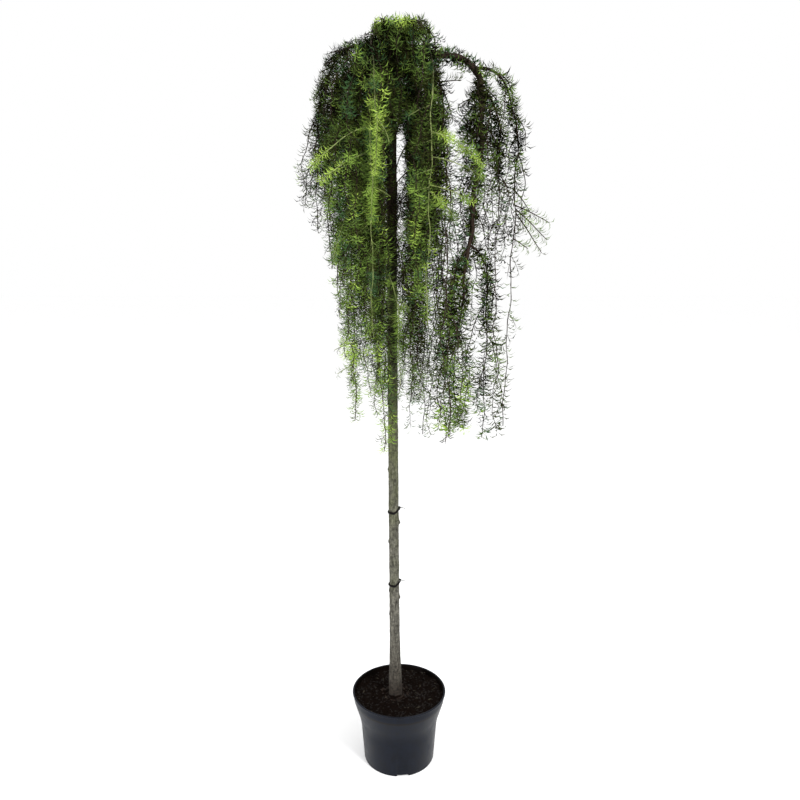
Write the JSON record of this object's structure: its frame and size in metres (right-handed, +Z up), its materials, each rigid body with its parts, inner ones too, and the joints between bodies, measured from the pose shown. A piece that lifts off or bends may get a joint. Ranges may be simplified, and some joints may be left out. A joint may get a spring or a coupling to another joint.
{
  "type": "weeping larch tree in a pot",
  "caption": "Weeping larch grafted on a tall clear stem, with arching boughs and long hanging needled shoots, standing in a round dark nursery pot with a flared collar.",
  "frame": {"origin": "middle of the pot's flat underside", "axes": "+Z up along the stem, +X towards the longest bough, -Y towards the front of the crown"},
  "size_m": [0.6781, 0.4012, 2.1366],
  "materials": {
    "pot_plastic": "satin dark grey moulded plastic",
    "compost": "moist fibrous dark compost",
    "stem_bark": "grey-olive young bark with knots",
    "tie_wire": "black plastic-coated wire",
    "bough_bark": "rough dark brown bark",
    "foliage": "soft dark green needles",
    "fresh_foliage": "soft yellow-green new needles"
  },
  "bodies": {
    "root": {"pot": "pot_plastic", "soil": "compost", "trunk": "stem_bark", "tie_upper": "tie_wire", "tie_lower": "tie_wire", "bough_back": "bough_bark", "bough_back_left": "bough_bark", "bough_back_right": "bough_bark", "bough_far_right": "bough_bark", "bough_front": "bough_bark", "bough_front_left": "bough_bark", "bough_front_right": "bough_bark", "bough_left": "bough_bark", "bough_left_back": "bough_bark", "bough_left_front": "bough_bark", "bough_right_arch": "bough_bark", "bough_right_back": "bough_bark", "bough_right_fall": "bough_bark", "bough_right_front": "bough_bark", "foliage_back": "foliage", "foliage_back_left": "foliage", "foliage_back_right": "foliage", "foliage_far_right": "foliage", "foliage_front": "foliage", "foliage_front_left": "fresh_foliage", "foliage_front_right": "fresh_foliage", "foliage_head": "foliage", "foliage_inner_back": "foliage", "foliage_inner_front": "foliage", "foliage_inner_left": "foliage", "foliage_inner_right": "foliage", "foliage_left": "foliage", "foliage_left_back": "foliage", "foliage_left_front": "foliage", "foliage_right": "foliage", "foliage_right_back": "foliage", "foliage_right_fork_inner": "foliage", "foliage_right_fork_outer": "foliage", "foliage_right_front": "foliage", "foliage_right_shoulder": "foliage"}
  },
  "joints": []
}
